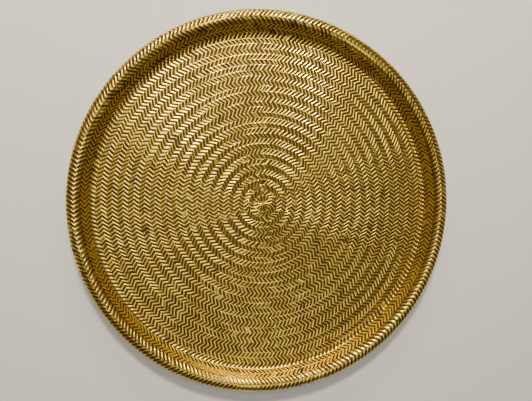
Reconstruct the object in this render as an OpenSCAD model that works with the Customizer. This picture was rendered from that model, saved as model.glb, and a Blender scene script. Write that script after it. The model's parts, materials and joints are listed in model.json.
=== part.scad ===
// Round wall tray of chased sheet brass with a hollow rolled rim and a hanging loop behind it.
// Millimetres, +Z up. The origin is at the centre of the floor's underside, and the loop is at +Y.
// In the section, the direction of a point on a bend is given in degrees from straight up,
// turning towards the outside of the tray.

/* [Tray] */
// Diameter over the rolled rim
tray_d = 600; // [480:10:720]
// Height of the rim's crest above the table
tray_h = 30; // [27:0.5:36]
// Thickness of the brass sheet
sheet = 1.2; // [0.9:0.1:1.5]

/* [Side and rim] */
// Slope of the side, in degrees above the table
side_slope = 70; // [64:1:76]
// Radius of the bend between the floor and the side, on its hollow face
cove_r = 6; // [4.5:0.5:8]
// Radius of the rolled rim over its crest
roll_r = 11.85; // [10.5:0.05:13]
// How far the roll carries on past its crest, in degrees
roll_turn = 150; // [140:1:156]
// Diameter of the iron wire in the rim's edge
wire_d = 3; // [2:0.5:3.5]
// How far the edge is wrapped round the wire, in degrees
wrap_turn = 265; // [220:5:270]

/* [Hanger] */
// Height of the loop's hinge above the table
hinge_z = 6; // [5.5:0.5:8]
// Diameter of the loop's brass wire
loop_wire_d = 2.5; // [2:0.25:3]
// Half the width of the loop, to the middle of its wire
loop_half_w = 10; // [8:0.5:10]
// Radius of the loop's two corner bends, to the middle of the wire
loop_bend_r = 3; // [2:0.5:3]
// How far the loop hangs below level when the tray lies on a table, in degrees
loop_drop = 21; // [0:1:21]
// Width of the strap that holds the loop
strap_w = 9; // [7:0.5:10]
// Length of the strap's tongue above the hinge
strap_len = 12; // [9:0.5:13]
// Thickness of the strap
strap_t = 1; // [0.8:0.1:1.2]

/* [Hidden] */

bend_step = 5;
wire_gap = 0.05;
hinge_gap = 0.08;
solder_t = 0.25;
solder_edge = 1.2;
solder_rise = 0.35;
solder_gap = 0.02;

brass_colour = [0.78, 0.6, 0.24];
loop_colour = [0.7, 0.53, 0.22];
iron_colour = [0.3, 0.28, 0.26];
solder_colour = [0.6, 0.6, 0.58];

wire_r = wire_d / 2;
wrap_r = wire_r + wire_gap + sheet;

// Centre of the roll: its outermost point is the tray's edge, its crest the tray's height.
roll_at = [tray_d / 2 - roll_r, tray_h - roll_r];
// Centre of the wire: the wrap touches the roll from inside at the end of the roll.
wire_at = roll_at + (roll_r - wrap_r) * heading(roll_turn);
// Centre of the bend at the floor's edge: the side leaves it straight for the roll.
cove_z = sheet + cove_r;
side_top = roll_at + roll_r * heading(-side_slope);
side_rise = side_top[1] - cove_z + cove_r * cos(side_slope);
cove_x = side_top[0] - side_rise / tan(side_slope) - cove_r * sin(side_slope);
cove_at = [cove_x, cove_z];
side_foot = cove_at + cove_r * heading(180 - side_slope);

// The hinge lies off the side's back by the solder and the knuckle.
loop_r = loop_wire_d / 2;
knuckle_r = loop_r + hinge_gap + strap_t;
hinge_off = sheet + solder_gap + solder_t + knuckle_r;
hinge_y = side_foot[0] + (hinge_z - side_foot[1]) / tan(side_slope) + hinge_off / sin(side_slope);

// Unit vector in the section, at an angle from straight up.
function heading(turn) = [sin(turn), cos(turn)];

// Points of a bend in the section, from one direction to another.
function bend(centre, radius, from, to) =
    let (steps = ceil(abs(to - from) / bend_step))
    [for (i = [0:steps]) centre + radius * heading(from + (to - from) * i / steps)];

// Outline of the sheet's section: out along the front face and home along the back face.
// Straight stretches join the bends: the floor, the side and the start of the wrap.
function pan_outline() = concat(
    [[0, sheet]],
    bend(cove_at, cove_r, 180, 180 - side_slope),
    bend(roll_at, roll_r, -side_slope, roll_turn),
    bend(wire_at, wrap_r, roll_turn + bend_step, roll_turn + wrap_turn),
    bend(wire_at, wrap_r - sheet, roll_turn + wrap_turn, roll_turn + bend_step),
    bend(roll_at, roll_r - sheet, roll_turn, -side_slope),
    bend(cove_at, cove_r + sheet, 180 - side_slope, 180),
    [[0, 0]]
);

// One sheet of brass, from the middle of the floor to the wrapped edge.
module tray_pan() {
    color(brass_colour)
        rotate_extrude($fn = 180)
            polygon(pan_outline());
}

// Iron wire that stiffens the edge, butted into a ring.
module rim_wire() {
    color(iron_colour)
        rotate_extrude($fn = 180)
            translate(wire_at)
                circle(r = wire_r, $fn = 48);
}

// Places children by the hinge: X along it, Y up the back of the side, Z away from the side.
module at_strap() {
    translate([0, hinge_y, hinge_z])
        rotate([180 + side_slope, 0, 0])
            mirror([0, 1, 0])
                children();
}

// Flat tongue of the strap, from the hinge up the side.
module strap_tongue() {
    translate([-strap_w / 2, 0, -knuckle_r])
        cube([strap_w, strap_len, strap_t]);
}

// Strap: a tongue whose lower end is rolled into a knuckle round the loop's bar.
module hanger_strap() {
    color(loop_colour)
        at_strap()
            difference() {
                union() {
                    strap_tongue();
                    rotate([0, 90, 0])
                        cylinder(r = knuckle_r, h = strap_w, center = true, $fn = 64);
                }
                rotate([0, 90, 0])
                    cylinder(r = loop_r + hinge_gap, h = strap_w + 2, center = true, $fn = 64);
            }
}

// Soft solder under the strap's tongue, standing a little up its edges.
module strap_solder() {
    pad_w = strap_w + 2 * solder_edge;
    color(solder_colour)
        at_strap()
            difference() {
                translate([-pad_w / 2, knuckle_r, -knuckle_r - solder_t])
                    cube([pad_w, strap_len + solder_edge - knuckle_r, solder_t + solder_rise]);
                strap_tongue();
            }
}

// Part of a bent wire, lying flat round its own centre.
module wire_bend(radius, from, turn) {
    rotate([0, 0, from])
        rotate_extrude(angle = turn, $fn = 96)
            translate([radius, 0])
                circle(r = loop_r, $fn = 32);
}

// Loop of brass wire: a straight bar in the knuckle and a round bow for the nail.
module hanging_loop() {
    bar_half = loop_half_w - loop_bend_r;
    color(loop_colour)
        translate([0, hinge_y, hinge_z])
            rotate([-loop_drop, 0, 0])
                union() {
                    rotate([0, 90, 0])
                        cylinder(r = loop_r, h = 2 * bar_half, center = true, $fn = 32);
                    translate([bar_half, loop_bend_r, 0])
                        wire_bend(loop_bend_r, -90, 90);
                    translate([-bar_half, loop_bend_r, 0])
                        wire_bend(loop_bend_r, 180, 90);
                    translate([0, loop_bend_r, 0])
                        wire_bend(loop_half_w, 0, 180);
                }
}

tray_pan();
rim_wire();
hanger_strap();
strap_solder();
hanging_loop();
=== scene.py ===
"""A round wall tray of chased sheet brass, with a hollow rolled rim and a hanging loop."""

import json
import math

import bpy
import numpy as np
from mathutils import Matrix, Vector


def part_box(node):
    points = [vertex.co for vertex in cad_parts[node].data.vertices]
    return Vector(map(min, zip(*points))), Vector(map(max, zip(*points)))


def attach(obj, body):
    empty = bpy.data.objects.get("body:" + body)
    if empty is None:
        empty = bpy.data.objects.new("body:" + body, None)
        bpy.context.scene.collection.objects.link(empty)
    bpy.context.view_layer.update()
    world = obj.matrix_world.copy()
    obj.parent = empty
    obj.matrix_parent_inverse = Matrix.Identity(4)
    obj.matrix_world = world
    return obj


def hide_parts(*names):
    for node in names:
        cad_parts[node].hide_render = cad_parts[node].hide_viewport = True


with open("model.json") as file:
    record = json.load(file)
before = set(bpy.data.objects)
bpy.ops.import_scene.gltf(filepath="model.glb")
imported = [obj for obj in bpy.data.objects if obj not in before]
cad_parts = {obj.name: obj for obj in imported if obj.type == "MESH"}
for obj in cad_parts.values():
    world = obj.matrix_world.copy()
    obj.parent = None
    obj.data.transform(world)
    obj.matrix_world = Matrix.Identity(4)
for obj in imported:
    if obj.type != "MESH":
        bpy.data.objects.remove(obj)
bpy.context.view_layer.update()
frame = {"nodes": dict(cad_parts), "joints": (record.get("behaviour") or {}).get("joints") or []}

bl_info = {
    "name": "Chased Brass Tray",
    "version": (1, 0, 0),
    "blender": (4, 5, 0),
    "location": "3D View > Sidebar > Tray",
    "description": "Builds a chased brass tray with a rolled rim and a hanging loop",
    "category": "Add Mesh",
}

PAN_LOW, PAN_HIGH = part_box("tray_pan")
STRAP_LOW, STRAP_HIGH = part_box("hanger_strap")
HINGE = Vector(frame["joints"][0]["pos_m"])
MM = 0.001
TURN = 2 * math.pi


# Sizes and colours


class TraySizes(bpy.types.PropertyGroup):
    """Sizes of the tray and of its chasing."""

    sheet: bpy.props.FloatProperty(
        name="Sheet", description="Thickness of the brass sheet",
        default=1.2 * MM, min=0.9 * MM, max=1.5 * MM, precision=5, unit="LENGTH",
    )
    side_slope: bpy.props.FloatProperty(
        name="Side slope", description="Slope of the side above the table",
        default=math.radians(70), min=math.radians(64), max=math.radians(76), subtype="ANGLE",
    )
    cove_radius: bpy.props.FloatProperty(
        name="Cove radius", description="Radius of the bend between the floor and the side",
        default=6 * MM, min=4.5 * MM, max=8 * MM, precision=5, unit="LENGTH",
    )
    roll_radius: bpy.props.FloatProperty(
        name="Roll radius", description="Radius of the rolled rim over its crest",
        default=11.85 * MM, min=10.5 * MM, max=13 * MM, precision=5, unit="LENGTH",
    )
    wrap_radius: bpy.props.FloatProperty(
        name="Wrap radius", description="Outer radius of the edge wrapped round the wire",
        default=2.75 * MM, min=2.3 * MM, max=3.3 * MM, precision=5, unit="LENGTH",
    )
    ring_width: bpy.props.FloatProperty(
        name="Ring width", description="Width of one ring of strokes on the floor",
        default=8.24 * MM, min=5 * MM, max=12 * MM, precision=5, unit="LENGTH",
    )
    stroke_lean: bpy.props.FloatProperty(
        name="Stroke lean", description="Angle between a stroke and the radius",
        default=math.radians(36), min=0, max=math.radians(50), subtype="ANGLE",
    )
    stroke_depth: bpy.props.FloatProperty(
        name="Stroke depth", description="Depth of a chased stroke",
        default=0.75 * MM, min=0, max=1 * MM, precision=5, unit="LENGTH",
    )
    ghost_depth: bpy.props.FloatProperty(
        name="Ghost depth", description="Relief of the strokes on the back",
        default=0.2 * MM, min=0, max=0.4 * MM, precision=5, unit="LENGTH",
    )
    loop_wire: bpy.props.FloatProperty(
        name="Loop wire", description="Diameter of the hanging loop's wire",
        default=2.5 * MM, min=2 * MM, max=3 * MM, precision=5, unit="LENGTH",
    )
    strap_thickness: bpy.props.FloatProperty(
        name="Strap thickness", description="Thickness of the hanger's strap",
        default=1 * MM, min=0.8 * MM, max=1.2 * MM, precision=5, unit="LENGTH",
    )


def colour_property(name, description, default):
    """A linear colour that the user can change."""
    return bpy.props.FloatVectorProperty(
        name=name, description=description, default=default,
        min=0, max=1, size=3, subtype="COLOR",
    )


class TrayColours(bpy.types.PropertyGroup):
    """Colours of the tray and of the stage."""

    bright: colour_property("Bright brass", "Rubbed tops of the strokes", (0.94, 0.69, 0.12))
    warm: colour_property("Warm brass", "Brass that is seldom rubbed", (0.72, 0.46, 0.075))
    patina: colour_property("Patina", "Brown in the bottoms of the strokes", (0.062, 0.028, 0.005))
    tarnish: colour_property("Tarnish", "Grey-green stains", (0.15, 0.14, 0.075))
    back: colour_property("Back", "Unpolished brass of the back", (0.34, 0.22, 0.075))
    hanger: colour_property("Hanger", "Brass of the strap and the loop", (0.52, 0.34, 0.11))
    iron: colour_property("Iron", "Black iron wire", (0.08, 0.07, 0.065))
    rust: colour_property("Rust", "Rust on the iron wire", (0.16, 0.06, 0.02))
    solder: colour_property("Solder", "Wiped soft solder", (0.42, 0.42, 0.40))
    paper: colour_property("Floor", "Pale studio floor", (0.80, 0.79, 0.77))


# Shader nodes


class Wired:
    """A shader value that takes part in Python arithmetic."""

    def __init__(self, bench, socket):
        self.bench = bench
        self.socket = socket

    def maths(self, operation, first, second):
        """Adds the Math node of one operation."""
        return self.bench.node("ShaderNodeMath", {"operation": operation}, {0: first, 1: second})

    def __add__(self, other):
        return self.maths("ADD", self, other)

    def __radd__(self, other):
        return self.maths("ADD", other, self)

    def __sub__(self, other):
        return self.maths("SUBTRACT", self, other)

    def __rsub__(self, other):
        return self.maths("SUBTRACT", other, self)

    def __mul__(self, other):
        return self.maths("MULTIPLY", self, other)

    def __rmul__(self, other):
        return self.maths("MULTIPLY", other, self)


class Bench:
    """One material's node tree."""

    def __init__(self, name):
        self.material = bpy.data.materials.new(name)
        self.material.use_nodes = True
        self.tree = self.material.node_tree
        self.tree.nodes.clear()

    def node(self, kind, settings=None, inputs=None, output=0):
        """Adds a node, makes its settings, then sets or links its sockets."""
        made = self.tree.nodes.new(kind)
        for name, value in (settings or {}).items():
            setattr(made, name, value)
        for name, value in (inputs or {}).items():
            socket = made.inputs[name]
            if isinstance(value, Wired):
                self.tree.links.new(value.socket, socket)
            elif isinstance(value, tuple) and len(value) == 3 and socket.type == "RGBA":
                socket.default_value = (*value, 1)
            else:
                socket.default_value = value
        return Wired(self, made.outputs[output] if len(made.outputs) else None)

    def place(self):
        """Where the point lies on the object."""
        return self.node("ShaderNodeTexCoord", output="Object")

    def attribute(self, name):
        """A number that is stored at the piece's vertices."""
        return self.node("ShaderNodeAttribute", {"attribute_name": name}, output="Fac")

    def noise(self, size, detail=3, roughness=0.55):
        """Noise of a given grain size in metres, from 0 to 1."""
        sockets = {"Vector": self.place(), "Scale": 1 / size, "Detail": detail, "Roughness": roughness}
        return self.node("ShaderNodeTexNoise", inputs=sockets)

    def between(self, value, low, high):
        """Runs from 0 to 1 as a value goes from low to high, without corners."""
        settings = {"interpolation_type": "SMOOTHSTEP"}
        return self.node("ShaderNodeMapRange", settings, {0: value, 1: low, 2: high, 3: 0.0, 4: 1.0})

    def blend(self, factor, first, second):
        """Mixes two colours."""
        return self.node(
            "ShaderNodeMix", {"data_type": "RGBA"}, {0: factor, 6: first, 7: second}, output=2
        )

    def bump(self, height, distance, normal=None):
        """Relief of a given depth in metres, on top of another one if there is one."""
        sockets = {"Height": height, "Distance": distance, "Strength": 1.0}
        if normal:
            sockets["Normal"] = normal
        return self.node("ShaderNodeBump", inputs=sockets)

    def finish(self, **sockets):
        """Adds the surface shader and the output."""
        named = {name.replace("_", " "): value for name, value in sockets.items()}
        surface = self.node("ShaderNodeBsdfPrincipled", inputs=named)
        self.node("ShaderNodeOutputMaterial", inputs={"Surface": surface})
        return self.material


def chased_brass(colours):
    """Brass with bright ridges, brown patina in the strokes, grey-green stains and a fine grain."""
    bench = Bench("chased_brass")
    depth = bench.attribute("stroke")
    tone = bench.attribute("tone")
    raw = bench.attribute("back")
    cloud = bench.noise(55 * MM, detail=4)
    grain = bench.noise(2.2 * MM, detail=4)
    speck = bench.noise(0.6 * MM, detail=2)
    stain_cloud = bench.noise(16 * MM, detail=5, roughness=0.62)
    stain = bench.between(stain_cloud, 0.54, 0.64) * bench.between(cloud, 0.42, 0.56)
    behind = bench.between(raw, 0.5, 1.0)
    rubbed = bench.between(cloud + tone * 0.25 + grain * 0.2 + raw * 0.8, 0.42, 0.95)
    dirty = bench.between(depth + grain * 0.40 + stain * 0.25 - 0.20 - rubbed * 0.10, 0.18, 0.60)
    dirt = dirty * (1 - behind * 0.7)
    polished = bench.blend(rubbed, tuple(colours.warm), tuple(colours.bright))
    metal = bench.blend(behind * (0.7 + grain * 0.3), polished, tuple(colours.back))
    stained = bench.blend(stain * (0.75 - behind * 0.4), metal, tuple(colours.tarnish))
    colour = bench.blend(dirt * 0.97, stained, tuple(colours.patina))
    roughness = 0.18 + dirt * 0.30 + stain * 0.22 + speck * 0.10 + raw * 0.44 - rubbed * 0.04
    shine = 1 - dirt * 0.2
    fine = bench.bump(speck, 0.04 * MM)
    relief = bench.bump(grain, 0.08 * MM, normal=fine)
    return bench.finish(Base_Color=colour, Metallic=shine, Roughness=roughness, Normal=relief)


def plain_brass(colours, name, base, dull):
    """Unpolished brass with brown clouds, wear and fine marks."""
    bench = Bench(name)
    cloud = bench.noise(18 * MM, detail=5, roughness=0.6)
    grain = bench.noise(1.4 * MM, detail=4)
    old = bench.between(cloud + grain * 0.25, 0.48, 0.82)
    colour = bench.blend(old * dull, tuple(base), tuple(colours.patina))
    roughness = 0.34 + old * 0.24 + grain * 0.14
    shine = 1 - old * 0.3
    relief = bench.bump(grain, 0.1 * MM)
    return bench.finish(Base_Color=colour, Metallic=shine, Roughness=roughness, Normal=relief)


def black_iron(colours):
    """Drawn iron wire with a black skin and a little rust."""
    bench = Bench("iron_wire")
    rust = bench.between(bench.noise(6 * MM, detail=5), 0.5, 0.66)
    grain = bench.noise(0.9 * MM, detail=3)
    colour = bench.blend(rust, tuple(colours.iron), tuple(colours.rust))
    shine = 0.9 - rust * 0.6
    roughness = 0.45 + rust * 0.35
    relief = bench.bump(grain, 0.1 * MM)
    return bench.finish(Base_Color=colour, Metallic=shine, Roughness=roughness, Normal=relief)


def soft_solder(colours):
    """Dull grey solder with wiping marks."""
    bench = Bench("soft_solder")
    cloud = bench.noise(4 * MM, detail=4)
    grain = bench.noise(1.1 * MM, detail=3)
    colour = bench.blend(cloud * 0.6, tuple(colours.solder), tuple(colours.tarnish))
    roughness = 0.42 + cloud * 0.25
    relief = bench.bump(grain, 0.15 * MM)
    return bench.finish(Base_Color=colour, Metallic=0.85, Roughness=roughness, Normal=relief)


def pale_floor(colours):
    """Matt paper-like floor with soft clouds."""
    bench = Bench("pale_floor")
    cloud = bench.noise(600 * MM, detail=2)
    lighter = tuple(min(1, 1.03 * level) for level in colours.paper)
    colour = bench.blend(cloud, tuple(colours.paper), lighter)
    return bench.finish(Base_Color=colour, Roughness=0.85)


# The pan's section


def heading(angle):
    """Unit vector in the section, at an angle from straight up towards the outside."""
    return np.stack([np.sin(angle), np.cos(angle)], -1)


class Section:
    """The front face's line, from the middle of the floor to the wrapped edge, by distance."""

    def __init__(self, sizes):
        slope = sizes.side_slope
        self.sheet = sizes.sheet
        self.slope = slope
        self.roll_radius = sizes.roll_radius
        self.wrap_radius = sizes.wrap_radius
        self.cove_radius = sizes.cove_radius
        self.roll_end = math.radians(150)
        self.wrap_end = self.roll_end + math.radians(265)
        self.roll_at = np.array([PAN_HIGH.x - self.roll_radius, PAN_HIGH.z - self.roll_radius])
        self.wire_at = self.roll_at + (self.roll_radius - self.wrap_radius) * heading(self.roll_end)
        self.top = self.roll_at + self.roll_radius * heading(-slope)
        cove_z = PAN_LOW.z + self.sheet + self.cove_radius
        rise = self.top[1] - cove_z + self.cove_radius * math.cos(slope)
        cove_x = self.top[0] - rise / math.tan(slope) - self.cove_radius * math.sin(slope)
        self.cove_at = np.array([cove_x, cove_z])
        self.foot = self.cove_at + self.cove_radius * heading(math.pi - slope)
        self.cove_start = cove_x
        self.side_start = self.cove_start + self.cove_radius * slope
        self.roll_start = self.side_start + float(np.linalg.norm(self.top - self.foot))
        self.crest = self.roll_start + self.roll_radius * slope
        self.wrap_start = self.crest + self.roll_radius * self.roll_end
        self.end = self.wrap_start + self.wrap_radius * (self.wrap_end - self.roll_end)

    def at(self, distance):
        """Points of the front face and its normals, for an array of distances."""
        s = np.asarray(distance, float)
        along_floor = np.stack([s, np.full_like(s, PAN_LOW.z + self.sheet)], -1)
        cove = math.pi - (s - self.cove_start) / self.cove_radius
        side_way = np.array([math.cos(self.slope), math.sin(self.slope)])
        roll = (s - self.crest) / self.roll_radius
        wrap = self.roll_end + (s - self.wrap_start) / self.wrap_radius
        flat = np.zeros_like(s)[..., None]
        parts = [
            (s >= self.wrap_start, self.wire_at + self.wrap_radius * heading(wrap), heading(wrap)),
            (s >= self.roll_start, self.roll_at + self.roll_radius * heading(roll), heading(roll)),
            (
                s >= self.side_start,
                self.foot + (s - self.side_start)[..., None] * side_way,
                heading(-self.slope) + flat,
            ),
            (s >= self.cove_start, self.cove_at + self.cove_radius * heading(cove), -heading(cove)),
        ]
        point = along_floor
        normal = np.array([0.0, 1.0]) + flat
        for mask, there, facing in reversed(parts):
            point = np.where(mask[..., None], there, point)
            normal = np.where(mask[..., None], facing, normal)
        return point, normal


# The chasing
#
# Operators can't cut some five thousand strokes, each slanted and worn in its own way, so the chased sheet
# is made row by row. Each row of vertices goes once round the tray and follows the strokes.

# The section of one stroke, in shares of the pitch from the middle of its ridge.
RIDGE_HALF = 0.07
GROOVE_START = 0.37

# Where vertices lie along the pitch of one stroke, on the front and on the back.
COLUMNS = (0, 0.15, 0.30, 0.5, 0.70, 0.85)
BACK_COLUMNS = (0, 0.27, 0.5, 0.73)

# Where rows lie across one ring.
ACROSS = (0.03, 0.16, 0.5, 0.84, 0.97)
BACK_ACROSS = (0.12, 0.88)
BEND_ACROSS = (0.03, 0.16, 0.38, 0.61, 0.84, 0.97)
ROLL_ACROSS = (0.03, 0.16, 0.33, 0.5, 0.67, 0.84, 0.97)

# The rings of the floor, from the middle outwards, and the one that lies over the bend.
FLOOR_RINGS = 30
FIRST_STROKES = 19.8
ADDED_STROKES = 7.9
BEND_RING = 9.1 * MM
BEND_RING_REACH = 5.13 * MM

# The borders of the rings on the roll, in degrees outwards from its crest, and the strokes of each ring
# from the bend to the outside.
ROLL_BORDERS = (-7.5, 41.5, 90)
EDGE_STROKES = (248, 252, 256, 262, 270, 276)

# The boss in the middle: its radial strokes, and where its rows lie in shares of its radius.
BOSS_STROKES = 12
BOSS_ROWS = (0.22, 0.42, 0.72, 0.93)

# Errors of the hand: drift along a ring and misfit where the ring closes, both in strokes, wander of the
# borders, and spread of the cuts' depth.
HAND_DRIFT = 0.70
CLOSING_MISFIT = 0.3
BORDER_WANDER = 0.16 * MM
CUT_SPREAD = 0.16

# Depth left at a ring's border: its mean, and how far it swings with the fit of the next ring's strokes.
BORDER_DEPTH = 0.61
BORDER_SWING = 0.31

# Depth left on the side and on the roll.
SIDE_DEPTH = 0.9
ROLL_DEPTH = 0.88

# Worn places, and the foot of the floor that is thinned as painted light: angle in degrees, reach in
# radians and the share of the depth that is taken off.
# Painted light: at the foot of the floor the strokes are made shallower, which also thins the patina in
# them, so the lower grooves look lit.
LIT_FLOOR_FOOT = (274, 0.5, 0.24)
WORN_ROLL = (58, 0.14, 0.6)
WORN_FOOT = (256, 0.17, 0.9)
WORN_OUTSIDE = (265, 0.07, 0.75)

# Slow unevenness of the floor.
DENT_DEPTH = 0.10 * MM
DENT_SPACING = 17 * MM

# Rows that carry no strokes: vertices in each, and the patina on them.
PLAIN_COLUMNS = 256
PLAIN_SHADE = 0.35


class Wander:
    """A smooth closed curve of small random waves round the tray."""

    def __init__(self, dice, size, waves):
        share = size / math.sqrt(len(waves))
        self.waves = [(n, share * dice.normal(), dice.uniform(0, TURN)) for n in waves]

    def __call__(self, angle):
        return sum(height * np.sin(n * angle + start) for n, height, start in self.waves)


class Ring:
    """One ring of strokes: where it lies, how many strokes it has and how each one is cut."""

    def __init__(self, dice, start, width, count, lean, sizes):
        self.start = start
        self.width = width
        self.count = count
        middle = start + width / 2
        around = TURN * min(middle, PAN_HIGH.x)
        self.slant = lean * width * math.tan(sizes.stroke_lean) * count / around
        self.drift = Wander(dice, HAND_DRIFT, (1, 2, 3, 5))
        self.edge = Wander(dice, BORDER_WANDER, (2, 3, 5, 8, 13))
        self.close = dice.normal() * CLOSING_MISFIT
        self.cuts = 1 - CUT_SPREAD * np.abs(dice.normal(size=count))
        self.tones = dice.uniform(0, 1, size=count)

    def offset(self, angle):
        """Hand error of the strokes along the ring, in strokes. It is least at the left and right."""
        seam = math.radians(88)
        away = (angle - seam + math.pi) % TURN - math.pi
        closing = self.close * np.exp(-((away / 0.05) ** 2))
        return self.drift(angle) * np.sin(angle) ** 2 + closing

    def phase(self, angle, across):
        """Which stroke an angle falls on, in strokes, at a share of the way across the ring."""
        return self.count * angle / TURN - self.slant * (across - 0.5) - self.offset(angle)


def groove(share):
    """Depth of a stroke from 0 on its ridge to 1 at its bottom, over one stroke's pitch."""
    away = np.minimum(share % 1, 1 - share % 1)
    rise = np.clip((away - RIDGE_HALF) / (GROOVE_START - RIDGE_HALF), 0, 1)
    return rise * rise * (3 - 2 * rise)


class Row:
    """A closed ring of vertices across the sheet."""

    def __init__(self, angles, points, stroke, tone, face, group=None):
        self.angles = angles
        self.points = points
        self.stroke = stroke
        self.tone = tone
        self.back = np.full(len(angles), float(face))
        self.group = group


def spin_points(angles, flat):
    """Turns points of the section round the tray's axis."""
    return np.stack([flat[:, 0] * np.cos(angles), flat[:, 0] * np.sin(angles), flat[:, 1]], -1)


def plain_row(section, distance, face):
    """A smooth row on the front (face 0) or on the back (face 1)."""
    angles = np.arange(PLAIN_COLUMNS) * TURN / PLAIN_COLUMNS
    point, normal = section.at(np.full(PLAIN_COLUMNS, distance))
    flat = point - normal * section.sheet * face
    shade = np.full(PLAIN_COLUMNS, PLAIN_SHADE)
    return Row(angles, spin_points(angles, flat), shade, shade, face, "plain")


class Chasing:
    """All the rings of strokes, from the middle of the floor to the outside of the rim."""

    def __init__(self, section, sizes):
        self.section = section
        self.sizes = sizes
        dice = np.random.default_rng(11)
        edge = section.cove_start + BEND_RING_REACH
        inner_edge = edge - BEND_RING
        self.rings = []
        for index in range(FLOOR_RINGS):
            count = 2 * round((FIRST_STROKES + ADDED_STROKES * index) / 2)
            start = inner_edge - sizes.ring_width * (FLOOR_RINGS - index)
            lean = 1 if (FLOOR_RINGS - index) % 2 else -1
            self.rings.append(Ring(dice, start, sizes.ring_width, count, lean, sizes))
        self.boss_radius = self.rings[0].start
        self.cove_ring = len(self.rings)
        side_half = (section.roll_start - edge) / 2
        on_roll = [section.crest + section.roll_radius * math.radians(turn) for turn in ROLL_BORDERS]
        marks = [inner_edge, edge, edge + side_half, section.roll_start, *on_roll]
        for index, count in enumerate(EDGE_STROKES):
            lean = -1 if index % 2 == 0 else 1
            width = marks[index + 1] - marks[index]
            self.rings.append(Ring(dice, marks[index], width, count, lean, sizes))
        self.outside = marks[-1]
        self.dents = [Wander(dice, 1.0, (2, 3, 4, 5, 7)) for _ in range(3)]
        self.wear = [Wander(dice, 1.0, (1, 2, 3, 4, 6)) for _ in range(3)]

    def border(self, index, angle):
        """Distance of the border inside ring number index, which wanders a little."""
        if index == len(self.rings):
            return np.full_like(angle, self.outside)
        ring = self.rings[index]
        return ring.start + ring.edge(angle) * min(1, ring.start / (60 * MM))

    def wear_at(self, index, angle, s):
        """Share of the stroke's depth that is left."""
        share = s / self.outside
        cloud = self.wear[0](angle) * share + self.wear[1](angle) * (1 - share)
        left = 1 - 0.12 * np.clip(cloud, 0, 2)
        past_bend = index - self.cove_ring
        if past_bend < 0:
            # Painted light: the floor's foot is thinned so that its grooves hold less patina and look lit.
            left = left * self.thinned_at(angle, LIT_FLOOR_FOOT, index / self.cove_ring)
        if past_bend > 2:
            left = left * ROLL_DEPTH * self.thinned_at(angle, WORN_ROLL)
        elif past_bend > 0:
            left = left * SIDE_DEPTH
        if past_bend in (2, 3):
            left = left * self.thinned_at(angle, WORN_FOOT)
        elif past_bend > 3:
            left = left * self.thinned_at(angle, WORN_OUTSIDE)
        return left

    def thinned_at(self, angle, place, share=1):
        """Depth that a worn place, or the foot of the floor thinned as painted light, leaves. It comes
        back to 1 away from the middle of the place.
        """
        degrees, reach, strength = place
        away = (angle - math.radians(degrees) + math.pi) % TURN - math.pi
        return 1 - strength * share * np.exp(-((away / reach) ** 2))

    def dent_at(self, angle, s):
        """Slow unevenness of the floor, from 0 to 1."""
        share = s / self.outside
        mix = self.dents[0](angle) * share + self.dents[1](angle) * share * (1 - share) * 2
        swell = np.sin(s / DENT_SPACING + self.dents[2](angle))
        return np.clip(0.5 + 0.2 * mix * share + 0.25 * swell, 0, 1)

    def gap(self, index, across, angles):
        """How far the next ring's strokes miss at the nearer border, from -0.5 to 0.5 stroke."""
        neighbour = index - 1 if across < 0.5 else index + 1
        if not 0 <= neighbour < len(self.rings):
            return np.zeros_like(angles)
        own = self.rings[index].phase(angles, round(across))
        other = self.rings[neighbour].phase(angles, 1 - round(across))
        return (other - own + 0.5) % 1 - 0.5

    def pull(self, angles):
        """Share of that gap that the maker closes: nearly all at the left and right, less elsewhere."""
        return np.clip(1 - 1.3 * np.sin(angles) ** 4, 0, 1)

    def row(self, index, across, columns, face):
        """A row of vertices that follows the strokes of one ring."""
        ring = self.rings[index]
        turns = (np.arange(ring.count)[:, None] + np.array(columns)).ravel()
        base = TURN * turns / ring.count
        angles = base + TURN / ring.count * (ring.slant * (across - 0.5) + ring.offset(base))
        gap = self.gap(index, across, angles)
        closed = gap * self.pull(angles) * (1 - (2 * gap) ** 10)
        angles = angles - TURN / ring.count * closed / 2 * abs(2 * across - 1)
        inner = self.border(index, angles)
        outer = self.border(index + 1, angles)
        s = inner + (outer - inner) * across
        point, normal = self.section.at(s)
        number = np.floor(turns).astype(int)
        share = turns - number
        after = (number + 1) % ring.count
        depth = groove(share) * ring.cuts[number]
        if min(across, 1 - across) < 0.1:
            depth = depth * (BORDER_DEPTH + BORDER_SWING * np.cos(TURN * (gap - closed)))
        depth = depth * self.wear_at(index, angles, s)
        hollow = DENT_DEPTH * self.dent_at(angles, s) * (s < self.section.cove_start)
        tone = ring.tones[number] * (1 - share) + ring.tones[after] * share
        on_side = self.cove_ring < index < self.cove_ring + 3
        if face == 0:
            flat = point - normal * (depth * self.sizes.stroke_depth + hollow)[:, None]
        else:
            lift = (1 - depth) * self.sizes.ghost_depth
            flat = point - normal * (self.section.sheet - lift)[:, None]
        raw = 1.0 if face else 0.5 * on_side
        return Row(angles, spin_points(angles, flat), depth, tone, raw, (index, columns, face))

    def shares(self, index, face):
        """Where rows lie across a ring: closer where the sheet bends up into the side."""
        if index in (self.cove_ring, self.cove_ring + 1):
            return BEND_ACROSS
        if face:
            return BACK_ACROSS
        return ROLL_ACROSS if index > self.cove_ring + 2 else ACROSS

    def front(self, first, last):
        """Front rows of rings first to last, with the next ring's first row to close against."""
        places = [(index, share) for index in range(first, last) for share in self.shares(index, 0)]
        if last < len(self.rings):
            places.append((last, ACROSS[0]))
        return [self.row(index, share, COLUMNS, 0) for index, share in places]

    def back(self, first, last):
        """Back rows of the same rings, in the same order. The joint between two pieces is square."""
        joint = ACROSS[0]
        places = [(first, joint)]
        places += [(first, share) for share in self.shares(first, 1)[1:]]
        places += [(index, share) for index in range(first + 1, last) for share in self.shares(index, 1)]
        places.append((last, joint))
        return [self.row(index, share, BACK_COLUMNS, 1) for index, share in places]


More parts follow.
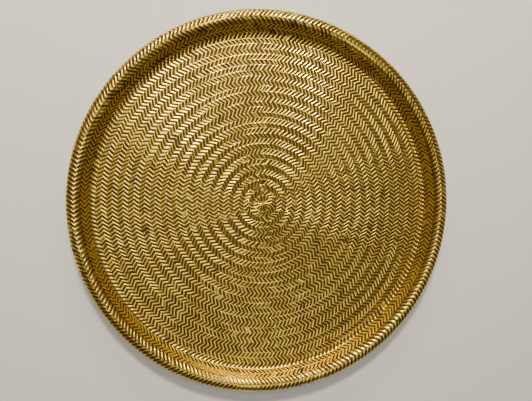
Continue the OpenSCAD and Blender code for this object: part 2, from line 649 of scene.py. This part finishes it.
class Shell:
    """Collects rows of vertices and the faces between them."""

    def __init__(self):
        self.points = []
        self.stroke = []
        self.tone = []
        self.back = []
        self.faces = []
        self.size = 0

    def add(self, points, stroke, tone, back):
        """Adds vertices and returns the number of the first one."""
        first = self.size
        self.points.append(points)
        self.stroke.append(stroke)
        self.tone.append(tone)
        self.back.append(back)
        self.size += len(points)
        return first

    def add_row(self, row):
        return self.add(row.points, row.stroke, row.tone, row.back)

    def pole(self, height, row, first, outwards):
        """Closes a row with a fan of faces round a point on the axis."""
        middle = self.add(np.array([[0, 0, height]]), np.array([0.2]), np.array([0.5]), row.back[:1])
        count = len(row.angles)
        for i in range(count):
            here, after = first + i, first + (i + 1) % count
            self.faces.append((middle, here, after) if outwards else (middle, after, here))

    def quads(self, inner, outer, count):
        """Joins two rows whose vertices lie in step."""
        for i in range(count):
            after = (i + 1) % count
            self.faces.append((inner + i, outer + i, outer + after, inner + after))

    def zip(self, one, first, other, second):
        """Joins two rows whose vertices lie out of step, by angle."""
        count, total = len(one.angles), len(other.angles)
        start = int(np.argmin(np.abs((other.angles - one.angles[0] + math.pi) % TURN - math.pi)))
        base = one.angles[0]
        here = np.append(one.angles - base, TURN)
        there = np.roll(other.angles, -start) - base
        there = (there + math.pi) % TURN - math.pi
        there = np.where(there < there[0] - 1e-9, there + TURN, there)
        there = np.append(there, there[0] + TURN)
        i = j = 0
        while i < count or j < total:
            a, b = first + i % count, second + (start + j) % total
            step_one = j >= total or (i < count and here[i + 1] <= there[j + 1])
            if step_one:
                self.faces.append((a, b, first + (i + 1) % count))
                i += 1
            else:
                self.faces.append((a, b, second + (start + j + 1) % total))
                j += 1

    def join(self, one, first, other, second):
        """Joins two rows in step or out of step."""
        if one.group == other.group:
            self.quads(first, second, len(one.angles))
        else:
            self.zip(one, first, other, second)

    def build(self, name):
        """Makes the mesh object, with the strokes' depth and tone as attributes."""
        mesh = bpy.data.meshes.new(name)
        mesh.from_pydata(np.concatenate(self.points).tolist(), [], self.faces)
        for label, values in (("stroke", self.stroke), ("tone", self.tone), ("back", self.back)):
            layer = mesh.attributes.new(label, "FLOAT", "POINT")
            layer.data.foreach_set("value", np.concatenate(values).astype(np.float32))
        made = bpy.data.objects.new(name, mesh)
        bpy.context.scene.collection.objects.link(made)
        return made


def skin(name, rows, loop=True):
    """Joins rows in order, and the last to the first, into one shell."""
    shell = Shell()
    starts = [shell.add_row(row) for row in rows]
    for k in range(len(rows) - 1):
        shell.join(rows[k], starts[k], rows[k + 1], starts[k + 1])
    if loop:
        shell.join(rows[-1], starts[-1], rows[0], starts[0])
    return shell, starts


# Working with operators


def let_go():
    """Deselects everything, in object mode."""
    if bpy.context.object and bpy.context.object.mode != "OBJECT":
        bpy.ops.object.mode_set(mode="OBJECT")
    bpy.ops.object.select_all(action="DESELECT")


def take(piece):
    """Selects one piece and makes it the active one."""
    let_go()
    piece.select_set(True)
    bpy.context.view_layer.objects.active = piece


def pick(piece, chosen):
    """Selects, in edit mode, only the vertices that a test chooses."""
    bpy.ops.mesh.select_mode(type="VERT")
    bpy.ops.mesh.select_all(action="DESELECT")
    bpy.ops.object.mode_set(mode="OBJECT")
    for vert in piece.data.vertices:
        vert.select = bool(chosen(vert))
    bpy.ops.object.mode_set(mode="EDIT")


def apply(piece, modifier):
    """Makes a modifier's shape the piece's own."""
    take(piece)
    bpy.ops.object.modifier_apply(modifier=modifier.name)


def thicken(piece, thickness):
    """Gives a strip its thickness, half to each side."""
    wall = piece.modifiers.new("wall", "SOLIDIFY")
    wall.thickness = thickness
    wall.offset = 0
    wall.use_even_offset = True
    apply(piece, wall)


def soften(piece, width):
    """Rounds the sharp edges."""
    edge = piece.modifiers.new("edge", "BEVEL")
    edge.width = width
    edge.segments = 3
    edge.limit_method = "ANGLE"
    edge.angle_limit = math.radians(50)
    apply(piece, edge)


def roughen(piece, height, size):
    """Moves the surface in and out by soft noise."""
    cloud = bpy.data.textures.new("wiped", "CLOUDS")
    cloud.noise_scale = size
    wave = piece.modifiers.new("wave", "DISPLACE")
    wave.texture = cloud
    wave.texture_coords = "LOCAL"
    wave.strength = height
    apply(piece, wave)


def smooth(piece, angle):
    """Shades smooth, except over edges sharper than the angle."""
    take(piece)
    bpy.ops.object.shade_smooth_by_angle(angle=angle)


def hand_over(piece, material, body, slot, *nodes):
    """Gives a finished piece its material and its body, and hides the CAD nodes it stands for."""
    piece.data.materials.clear()
    piece.data.materials.append(material)
    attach(piece, body)
    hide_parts(*nodes)


class TRAY_OT_pan(bpy.types.Operator):
    """Make the chased pan: inner floor, outer floor and rim, front and back"""

    bl_idname = "tray.pan"
    bl_label = "Chased pan"

    def execute(self, context):
        sizes = context.scene.tray_sizes
        section = Section(sizes)
        chasing = Chasing(section, sizes)
        metal = chased_brass(context.scene.tray_colours)
        half_way = 21
        edge_ring = chasing.cove_ring + 1
        self.middle(chasing, half_way, metal)
        self.outer(chasing, half_way, edge_ring, metal)
        self.rim(chasing, section, edge_ring, metal)
        return {"FINISHED"}

    def boss(self, chasing, face, columns, section):
        """Rows of the small boss of radial strokes in the middle, front (face 0) or back (face 1)."""
        rows = []
        turns = (np.arange(BOSS_STROKES)[:, None] + np.array(columns)).ravel()
        angles = turns * TURN / BOSS_STROKES
        for share in BOSS_ROWS:
            point, normal = section.at(np.full(len(angles), chasing.boss_radius * share))
            reach = math.sin(math.pi * min(1, max(0, (share - 0.2) / 0.8))) ** 0.5
            depth = groove(turns) * reach
            sunk = depth * chasing.sizes.stroke_depth
            if face == 1:
                sunk = section.sheet - (1 - depth) * chasing.sizes.ghost_depth
            flat = point - normal * np.broadcast_to(sunk, angles.shape)[:, None]
            tone = np.full(len(angles), 0.5)
            rows.append(Row(angles, spin_points(angles, flat), depth, tone, face, ("boss", columns)))
        return rows

    def middle(self, chasing, last, metal):
        """The boss and the inner rings."""
        section = chasing.section
        front = self.boss(chasing, 0, COLUMNS, section) + chasing.front(0, last)
        back = self.boss(chasing, 1, BACK_COLUMNS, section) + chasing.back(0, last)
        rows = front + back[::-1]
        shell, starts = skin("floor_middle", rows, loop=False)
        shell.pole(PAN_LOW.z + section.sheet, rows[0], starts[0], True)
        shell.pole(PAN_LOW.z + chasing.sizes.ghost_depth, rows[-1], starts[-1], False)
        self.put(shell, "floor_middle", metal)

    def outer(self, chasing, first, last, metal):
        """The outer rings of the floor and the one over the bend."""
        rows = chasing.front(first, last) + chasing.back(first, last)[::-1]
        shell, _ = skin("floor_outer", rows)
        self.put(shell, "floor_outer", metal)

    def rim(self, chasing, section, first, metal):
        """The side, the roll and the edge that is wrapped round the wire."""
        front = chasing.front(first, len(chasing.rings))
        first_plain = chasing.outside + 0.5 * MM
        last_plain = section.roll_start + 1.3 * MM
        under = np.linspace(first_plain, section.wrap_start, 10)
        wrap = np.linspace(section.wrap_start, section.end, 26)[1:]
        hollow = np.linspace(section.wrap_start, last_plain, 26)
        edge = [plain_row(section, s, 0) for s in (*under, *wrap)]
        inside = [plain_row(section, s, 1) for s in (*wrap[::-1], *hollow)]
        first_roll = first + 2
        back = chasing.back(first, first_roll)
        rows = front + edge + inside + back[::-1]
        shell, _ = skin("rim", rows)
        self.put(shell, "rim", metal)

    def put(self, shell, name, metal):
        """Finishes one piece of the pan."""
        piece = shell.build(name)
        smooth(piece, math.radians(72))
        hand_over(piece, metal, "tray", "chased_brass", "tray_pan")


class TRAY_OT_wire(bpy.types.Operator):
    """Finish the iron wire in the rim"""

    bl_idname = "tray.wire"
    bl_label = "Rim wire"

    def execute(self, context):
        node = frame["nodes"]["rim_wire"]
        node.material_slots[0].material = black_iron(context.scene.tray_colours)
        return {"FINISHED"}


class Hanger:
    """Directions by the hinge, up the back of the side and away from it, and the hanger's sizes."""

    def __init__(self, sizes):
        slope = sizes.side_slope
        self.slope = slope
        self.up = Vector((0, math.cos(slope), math.sin(slope)))
        self.away = Vector((0, math.sin(slope), -math.cos(slope)))
        self.thickness = sizes.strap_thickness
        self.knuckle = sizes.loop_wire / 2 + 0.08 * MM + sizes.strap_thickness
        self.width = STRAP_HIGH.x - STRAP_LOW.x
        self.length = 12 * MM
        self.corner = 2.2 * MM
        self.rolled = math.radians(292)
        self.solder = 0.27 * MM
        self.puddle = (6.7 * MM, 6.1 * MM, 0.85 * MM)
        self.cut = 0.25 * MM

    def at(self, upwards, outwards):
        """A point in the middle plane, from the hinge."""
        return HINGE + self.up * upwards + self.away * outwards


class TRAY_OT_hanger(bpy.types.Operator):
    """Make the rolled strap and its solder, and finish the hanging loop"""

    bl_idname = "tray.hanger"
    bl_label = "Hanger"

    def execute(self, context):
        colours = context.scene.tray_colours
        hanger = Hanger(context.scene.tray_sizes)
        brass = plain_brass(colours, "plain_brass", colours.hanger, 0.6)
        hand_over(self.strap(hanger), brass, "tray", "plain_brass", "hanger_strap")
        hand_over(self.solder(hanger), soft_solder(colours), "tray", "soft_solder", "strap_solder")
        frame["nodes"]["hanging_loop"].material_slots[0].material = brass
        return {"FINISHED"}

    def strap(self, hanger):
        """A strip with rounded corners, its lower end rolled into a knuckle round the loop's bar."""
        let_go()
        middle = hanger.thickness / 2 - hanger.knuckle
        place = hanger.at(hanger.length / 2, middle)
        bpy.ops.mesh.primitive_plane_add(size=1, location=place, rotation=(hanger.slope, 0, 0))
        strip = bpy.context.object
        strip.name = "strap"
        strip.scale = (hanger.width, hanger.length, 1)
        bpy.ops.object.transform_apply(location=True, rotation=True, scale=True)
        top = HINGE.dot(hanger.up) + hanger.length / 2
        bpy.ops.object.mode_set(mode="EDIT")
        pick(strip, lambda vert: vert.co.dot(hanger.up) > top)
        bpy.ops.mesh.bevel(offset=hanger.corner, segments=6, affect="VERTICES")
        pick(strip, lambda vert: vert.co.dot(hanger.up) < top - hanger.length * 0.45)
        bpy.ops.mesh.spin(steps=30, angle=hanger.rolled, center=HINGE, axis=(-1, 0, 0))
        bpy.ops.object.mode_set(mode="OBJECT")
        thicken(strip, hanger.thickness)
        soften(strip, 0.18 * MM)
        smooth(strip, math.radians(40))
        return strip

    def solder(self, hanger):
        """A low puddle under the strap, cut flat against the side and wiped unevenly."""
        let_go()
        back = -hanger.knuckle - hanger.solder
        bpy.ops.mesh.primitive_uv_sphere_add(
            segments=64, ring_count=32, radius=1,
            location=hanger.at(hanger.length * 0.65, back), rotation=(hanger.slope, 0, 0),
        )
        puddle = bpy.context.object
        puddle.name = "solder"
        puddle.scale = hanger.puddle
        bpy.ops.object.transform_apply(location=True, rotation=True, scale=True)
        roughen(puddle, 0.3 * MM, 3 * MM)
        bpy.ops.object.mode_set(mode="EDIT")
        bpy.ops.mesh.select_all(action="SELECT")
        bpy.ops.mesh.bisect(
            plane_co=hanger.at(0, back - hanger.cut), plane_no=hanger.away,
            clear_inner=True, use_fill=True, threshold=0.0001 * MM,
        )
        bpy.ops.mesh.select_all(action="SELECT")
        bpy.ops.mesh.normals_make_consistent(inside=False)
        bpy.ops.object.mode_set(mode="OBJECT")
        smooth(puddle, math.radians(50))
        return puddle


class TRAY_OT_stage(bpy.types.Operator):
    """Make the floor, the lights and the camera"""

    bl_idname = "tray.stage"
    bl_label = "Stage"

    def execute(self, context):
        let_go()
        bpy.ops.mesh.primitive_plane_add(size=12, location=(0, 0, -0.0002))
        floor = context.object
        floor.name = "stage_floor"
        floor.data.materials.append(pale_floor(context.scene.tray_colours))
        # Each light's name, place in metres, width and height, power in watts and colour.
        self.light("overhead", (-0.12, 0.70, 2.0), (0.75, 0.8), 11, (1.0, 0.92, 0.76))
        self.light("key", (-0.1, 1.45, 1.5), (0.45, 0.25), 44, (1.0, 0.91, 0.74))
        self.light("low_strip", (0.0, 2.2, 0.85), (1.5, 0.14), 24, (1.0, 0.91, 0.74))
        self.light("near_fill", (0.0, -0.9, 2.0), (1.4, 0.8), 6, (1.0, 0.92, 0.78))
        self.light("left_fill", (-2.2, 0.2, 1.5), (0.8, 1.2), 2, (1.0, 0.95, 0.88))
        self.light("right_fill", (2.2, -0.3, 1.5), (0.8, 1.2), 3, (1.0, 0.95, 0.88))
        self.sky(0.10)
        self.camera(context)
        return {"FINISHED"}

    def light(self, name, place, size, power, colour):
        """An area light that looks at the tray."""
        data = bpy.data.lights.new(name, "AREA")
        data.shape = "RECTANGLE"
        data.size, data.size_y = size
        data.energy = power
        data.color = colour
        lamp = bpy.data.objects.new(name, data)
        lamp.location = place
        lamp.rotation_euler = (-Vector(place)).to_track_quat("-Z", "Y").to_euler()
        bpy.context.scene.collection.objects.link(lamp)

    def sky(self, strength):
        """Even pale light from all round."""
        world = bpy.data.worlds.new("studio")
        world.use_nodes = True
        background = world.node_tree.nodes["Background"]
        background.inputs["Color"].default_value = (1.0, 0.985, 0.96, 1)
        background.inputs["Strength"].default_value = strength
        bpy.context.scene.world = world

    def camera(self, context):
        """Looks down on the tray, which is turned a little away at its right and at its foot."""
        right_drop = 0.108
        top_rise = 0.0555
        distance = 770 * MM
        lens_share = 0.9008
        shift = (0.0059, 0.00585)
        out = Vector((right_drop, -top_rise, 1)).normalized()
        across = Vector((1, 0, -right_drop)).normalized()
        upward = out.cross(across)
        seen = Matrix((across, upward, out)).transposed()
        place = seen.inverted()
        data = bpy.data.cameras.new("camera")
        data.sensor_width = 36
        data.lens = data.sensor_width * lens_share
        data.shift_x, data.shift_y = shift
        data.clip_start = 0.01
        camera = bpy.data.objects.new("camera", data)
        turned = place.to_4x4()
        back_off = Vector(turned.col[2][:3]) * distance
        level = PAN_LOW.z + context.scene.tray_sizes.sheet
        camera.matrix_world = Matrix.Translation(back_off + Vector((0, 0, level))) @ turned
        context.scene.collection.objects.link(camera)
        context.scene.camera = camera


class TRAY_PT_panel(bpy.types.Panel):
    """Lists the tray's sizes, colours and steps."""

    bl_idname = "TRAY_PT_panel"
    bl_label = "Brass Tray"
    bl_space_type = "VIEW_3D"
    bl_region_type = "UI"
    bl_category = "Tray"

    def draw(self, context):
        for group in (context.scene.tray_sizes, context.scene.tray_colours):
            for name in group.bl_rna.properties.keys():
                if name not in ("rna_type", "name"):
                    self.layout.prop(group, name)
        for step in STEPS:
            self.layout.operator(step.bl_idname)


STEPS = (TRAY_OT_pan, TRAY_OT_wire, TRAY_OT_hanger, TRAY_OT_stage)
CLASSES = (TraySizes, TrayColours, *STEPS, TRAY_PT_panel)


def register():
    for each in CLASSES:
        bpy.utils.register_class(each)
    bpy.types.Scene.tray_sizes = bpy.props.PointerProperty(type=TraySizes)
    bpy.types.Scene.tray_colours = bpy.props.PointerProperty(type=TrayColours)


def unregister():
    del bpy.types.Scene.tray_colours
    del bpy.types.Scene.tray_sizes
    for each in reversed(CLASSES):
        bpy.utils.unregister_class(each)


def main():
    register()
    bpy.ops.tray.pan()
    bpy.ops.tray.wire()
    bpy.ops.tray.hanger()
    bpy.ops.tray.stage()


if __name__ == "__main__":
    main()
